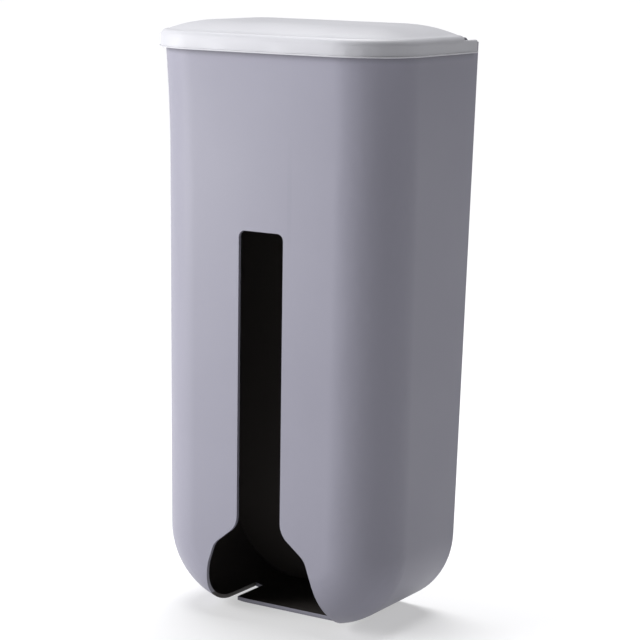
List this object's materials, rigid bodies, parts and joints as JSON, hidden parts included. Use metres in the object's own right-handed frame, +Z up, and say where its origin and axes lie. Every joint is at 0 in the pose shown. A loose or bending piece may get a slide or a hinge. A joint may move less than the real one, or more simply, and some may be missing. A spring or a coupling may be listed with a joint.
{
  "type": "bag_dispenser",
  "caption": "Wall-mounted plastic bag dispenser: deep grey moulded tub with a pull-out slot that flares at the bottom, white hinged lid, and adhesive stud pads behind.",
  "frame": {"origin": "on the wall's surface, midway between the two studs", "axes": "X to the right as seen from the front, +Y into the wall, Z up"},
  "size_m": [0.1152, 0.0831, 0.2428],
  "materials": {
    "grey_polypropylene": "fine matte moulded polypropylene, lavender grey",
    "white_polypropylene": "satin moulded polypropylene, white",
    "acrylic_adhesive": "translucent acrylic gel sheet",
    "clear_pvc": "clear glossy moulded sheet",
    "stud_steel": "zinc-plated steel with a rolled thread",
    "black_rubber": "smooth black rubber",
    "nut_nylon": "white moulded nylon"
  },
  "bodies": {
    "tub_body": {"tub": "grey_polypropylene", "adhesive_left": "acrylic_adhesive", "wall_pad_left": "clear_pvc", "stud_left": "stud_steel", "washer_left": "black_rubber", "thumb_nut_left": "nut_nylon", "adhesive_right": "acrylic_adhesive", "wall_pad_right": "clear_pvc", "stud_right": "stud_steel", "washer_right": "black_rubber", "thumb_nut_right": "nut_nylon"},
    "lid_body": {"lid": "white_polypropylene"}
  },
  "joints": [
    {"name": "lid_hinge", "type": "hinge", "parent": "tub_body", "child": "lid_body", "pos_m": [0, -0.0104, 0.0292], "axis": [-1, 0, 0], "range_deg": [0, 93]}
  ]
}
